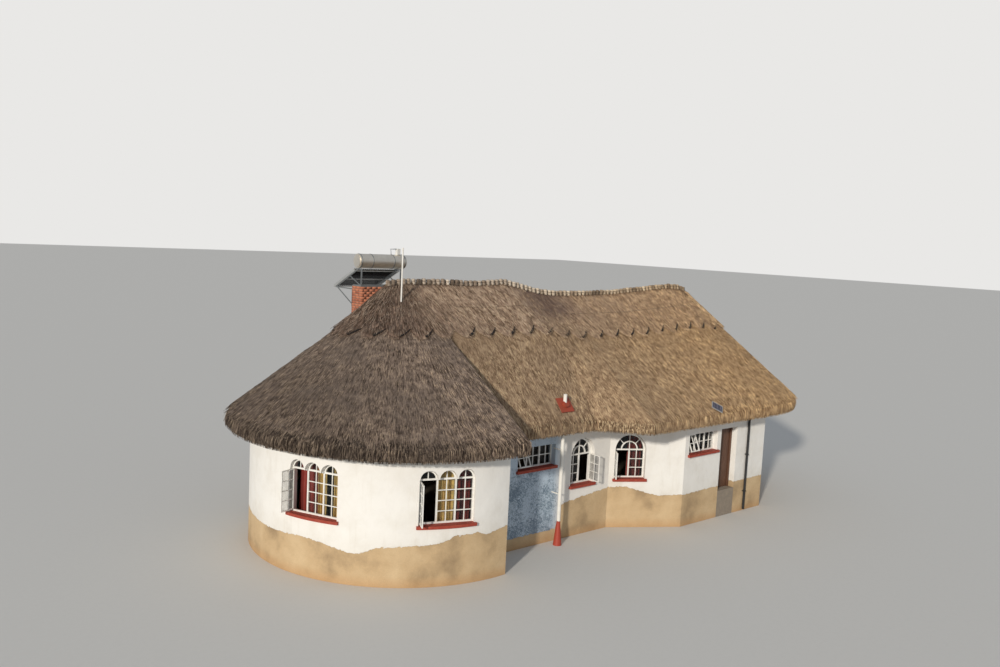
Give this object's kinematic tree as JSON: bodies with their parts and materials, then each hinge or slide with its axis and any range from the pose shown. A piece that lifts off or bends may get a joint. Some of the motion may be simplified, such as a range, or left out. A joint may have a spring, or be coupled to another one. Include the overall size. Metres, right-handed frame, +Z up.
{
  "type": "rondavel hut",
  "caption": "Thatched rondavel house: a round room under a cone that runs into a long hipped thatch, with arched windows and a hinged entrance door.",
  "frame": {"origin": "centre of the round room at ground level", "axes": "+X along the ridge away from the round room, +Z up, the entrance front faces -Y"},
  "size_m": [21.785, 11.4576, 8.6007],
  "materials": {
    "concrete": "rough concrete",
    "white_plaster": "matte lime paint on render",
    "bare_render": "bare cement render",
    "dark_thatch": "weathered straw",
    "pale_thatch": "dry straw",
    "thatch_knots": "tied straw bundles",
    "white_steel": "gloss white paint",
    "window_glass": "clear",
    "red_sill": "worn red paint on cement",
    "door_timber": "dark stained",
    "white_pipe": "weathered white",
    "red_sheet": "red painted sheet",
    "black_pipe": "matte",
    "red_brick": "rough brick",
    "grey_steel": "dull galvanised",
    "dark_collector": "dark tubes",
    "white_plastic": "satin"
  },
  "bodies": {
    "house": {"floor_slab": "concrete", "round_wall_front": "white_plaster", "round_wall_left": "white_plaster", "round_wall_back": "white_plaster", "return_wall": "white_plaster", "return_gable": "white_plaster", "recess_wall": "white_plaster", "bay_wall": "white_plaster", "front_wall": "white_plaster", "front_wall_right": "white_plaster", "door_lintel": "white_plaster", "door_threshold": "bare_render", "end_wall": "white_plaster", "back_wall": "white_plaster", "thatch_round_front": "dark_thatch", "thatch_round_back": "dark_thatch", "thatch_front": "pale_thatch", "thatch_back": "pale_thatch", "ridge_cap_front": "pale_thatch", "ridge_cap_back": "pale_thatch", "ridge_crest": "thatch_knots", "round_window_left": "white_steel", "round_window_right": "white_steel", "recess_window": "white_steel", "arched_window_left": "white_steel", "arched_window_right": "white_steel", "front_window": "white_steel", "back_window_left": "white_steel", "back_window_right": "white_steel", "window_glass": "window_glass", "sill_round_left": "red_sill", "sill_round_right": "red_sill", "sill_recess": "red_sill", "sill_arched_left": "red_sill", "sill_arched_right": "red_sill", "sill_front": "red_sill", "sill_back_left": "red_sill", "sill_back_right": "red_sill", "door_frame": "door_timber", "flue_pipe": "white_pipe", "flue_flashing": "red_sheet", "drainpipe": "black_pipe", "heater_pier": "red_brick", "heater_frame": "grey_steel", "water_tank": "grey_steel", "solar_collector": "dark_collector", "header_box": "white_plastic", "vent_pole": "white_pipe", "light_panel": "dark_collector"},
    "door": {"entrance_door": "door_timber"}
  },
  "joints": [
    {"name": "entrance_hinge", "type": "hinge", "parent": "house", "child": "door", "pos_m": [10.64, -4.136, 0.9], "axis": [0, 0, -1], "range_deg": [0, 95]}
  ]
}
